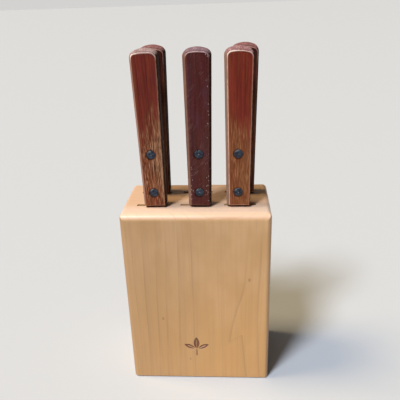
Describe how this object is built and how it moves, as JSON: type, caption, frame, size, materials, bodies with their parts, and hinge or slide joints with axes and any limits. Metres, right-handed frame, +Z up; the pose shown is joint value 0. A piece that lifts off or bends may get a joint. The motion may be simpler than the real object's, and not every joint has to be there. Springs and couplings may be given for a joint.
{
  "type": "knife block with knives",
  "caption": "Upright laminated wooden block with rows of slots, holding steak knives with riveted wooden handles that lift out.",
  "frame": {"origin": "centre of the block's underside", "axes": "+Z up along the slots, -Y towards the front face with the leaf mark, +X to the right seen from the front"},
  "size_m": [0.115, 0.066, 0.2718],
  "materials": {
    "maple_board": "satin",
    "maple_strip": "satin",
    "handle_wood": "satin",
    "dark_handle_wood": "satin",
    "blade_steel": "satin",
    "rivet_steel": "satin"
  },
  "bodies": {
    "block": {"front_board": "maple_board", "core_board": "maple_board", "back_board": "maple_board", "front_bottom_strip": "maple_strip", "front_left_strip": "maple_strip", "front_left_divider": "maple_strip", "front_right_divider": "maple_strip", "front_right_strip": "maple_strip", "rear_bottom_strip": "maple_strip", "rear_left_strip": "maple_strip", "rear_left_divider": "maple_strip", "rear_right_divider": "maple_strip", "rear_right_strip": "maple_strip"},
    "front_left_knife": {"front_left_handle": "handle_wood", "front_left_blade": "blade_steel", "front_left_lower_rivet_socket": "rivet_steel", "front_left_lower_rivet_stud": "rivet_steel", "front_left_upper_rivet_socket": "rivet_steel", "front_left_upper_rivet_stud": "rivet_steel"},
    "front_middle_knife": {"front_middle_handle": "dark_handle_wood", "front_middle_blade": "blade_steel", "front_middle_lower_rivet_socket": "rivet_steel", "front_middle_lower_rivet_stud": "rivet_steel", "front_middle_upper_rivet_socket": "rivet_steel", "front_middle_upper_rivet_stud": "rivet_steel"},
    "front_right_knife": {"front_right_handle": "handle_wood", "front_right_blade": "blade_steel", "front_right_lower_rivet_socket": "rivet_steel", "front_right_lower_rivet_stud": "rivet_steel", "front_right_upper_rivet_socket": "rivet_steel", "front_right_upper_rivet_stud": "rivet_steel"},
    "rear_left_knife": {"rear_left_handle": "handle_wood", "rear_left_blade": "blade_steel", "rear_left_lower_rivet_socket": "rivet_steel", "rear_left_lower_rivet_stud": "rivet_steel", "rear_left_upper_rivet_socket": "rivet_steel", "rear_left_upper_rivet_stud": "rivet_steel"},
    "rear_right_knife": {"rear_right_handle": "handle_wood", "rear_right_blade": "blade_steel", "rear_right_lower_rivet_socket": "rivet_steel", "rear_right_lower_rivet_stud": "rivet_steel", "rear_right_upper_rivet_socket": "rivet_steel", "rear_right_upper_rivet_stud": "rivet_steel"}
  },
  "joints": [
    {"name": "front_left_lift", "type": "slide", "parent": "block", "child": "front_left_knife", "axis": [0, 0, 1], "range_m": [0, 0.135]},
    {"name": "front_middle_lift", "type": "slide", "parent": "block", "child": "front_middle_knife", "axis": [0, 0, 1], "range_m": [0, 0.135]},
    {"name": "front_right_lift", "type": "slide", "parent": "block", "child": "front_right_knife", "axis": [0, 0, 1], "range_m": [0, 0.135]},
    {"name": "rear_left_lift", "type": "slide", "parent": "block", "child": "rear_left_knife", "axis": [0, 0, 1], "range_m": [0, 0.135]},
    {"name": "rear_right_lift", "type": "slide", "parent": "block", "child": "rear_right_knife", "axis": [0, 0, 1], "range_m": [0, 0.135]}
  ]
}
